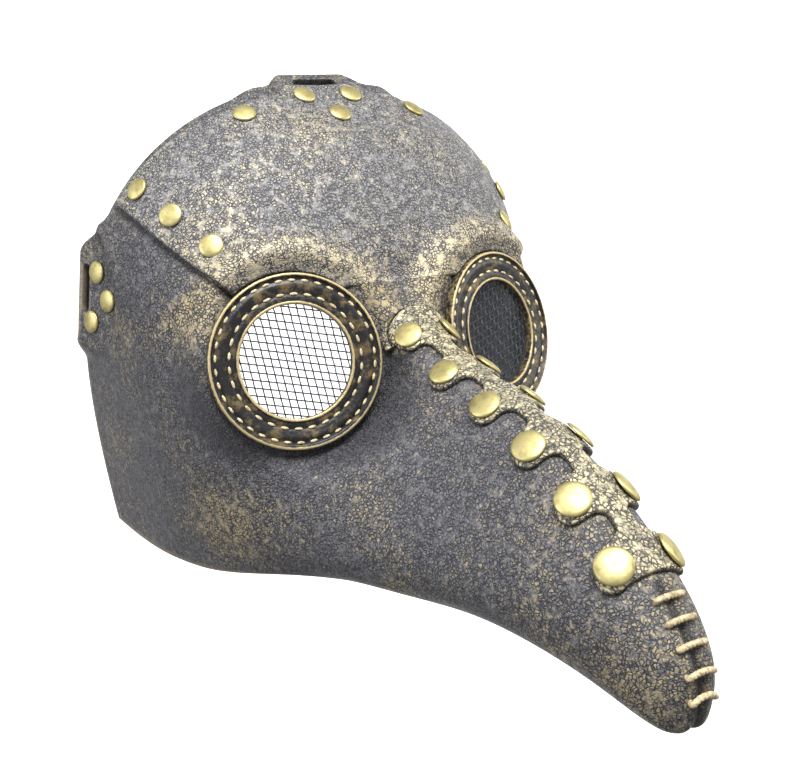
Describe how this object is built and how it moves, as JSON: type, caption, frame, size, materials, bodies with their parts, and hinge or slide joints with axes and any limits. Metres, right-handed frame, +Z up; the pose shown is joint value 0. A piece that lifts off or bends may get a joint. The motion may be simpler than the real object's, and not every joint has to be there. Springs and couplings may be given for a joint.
{
  "type": "plague doctor mask",
  "caption": "Beaked plague doctor mask of aged leather with round gauze eye windows, riveted brow panel, ridge strap, laced beak tip and slots for head straps.",
  "frame": {"origin": "midpoint between the centres of the two eye rings, where the wearer's eyes look out", "axes": "+Z up as worn, +X to the wearer's left, -Y the way the beak points"},
  "size_m": [0.1806, 0.2687, 0.1898],
  "materials": {
    "shell_leather": "pebbled, dark slate rubbed with pale gold on the high places",
    "panel_leather": "fine grain, grey-gold, rubbed",
    "strap_leather": "crackled, pale gold, worn edges",
    "ring_leather": "near black, antiqued, gold beads and stitches",
    "aged_brass": "satin, aged",
    "mesh_wire": "dark woven wire, satin",
    "lacing_cord": "waxed tan cord",
    "backing_plate": "dark, flat, matte"
  },
  "bodies": {
    "root": {"face_shell_left": "shell_leather", "face_shell_right": "shell_leather", "forehead_panel": "panel_leather", "ridge_strap": "strap_leather", "eye_ring_left": "ring_leather", "eye_ring_right": "ring_leather", "eye_mesh_left": "mesh_wire", "eye_mesh_right": "mesh_wire", "slot_plate_top": "backing_plate", "slot_plate_left": "backing_plate", "slot_plate_right": "backing_plate", "rivet_brow_1_left": "aged_brass", "rivet_brow_1_right": "aged_brass", "rivet_brow_2_left": "aged_brass", "rivet_brow_2_right": "aged_brass", "rivet_brow_3_left": "aged_brass", "rivet_brow_3_right": "aged_brass", "rivet_crown_left": "aged_brass", "rivet_crown_right": "aged_brass", "rivet_beak_1_left": "aged_brass", "rivet_beak_1_right": "aged_brass", "rivet_beak_2_left": "aged_brass", "rivet_beak_2_right": "aged_brass", "rivet_beak_3_left": "aged_brass", "rivet_beak_3_right": "aged_brass", "rivet_beak_4_left": "aged_brass", "rivet_beak_4_right": "aged_brass", "rivet_beak_5_left": "aged_brass", "rivet_beak_5_right": "aged_brass", "rivet_beak_6_left": "aged_brass", "rivet_beak_6_right": "aged_brass", "rivet_slot_top_1": "aged_brass", "rivet_slot_top_2": "aged_brass", "rivet_slot_top_3": "aged_brass", "rivet_slot_left_1": "aged_brass", "rivet_slot_left_2": "aged_brass", "rivet_slot_left_3": "aged_brass", "rivet_slot_right_1": "aged_brass", "rivet_slot_right_2": "aged_brass", "rivet_slot_right_3": "aged_brass", "beak_lacing": "lacing_cord"}
  },
  "joints": []
}
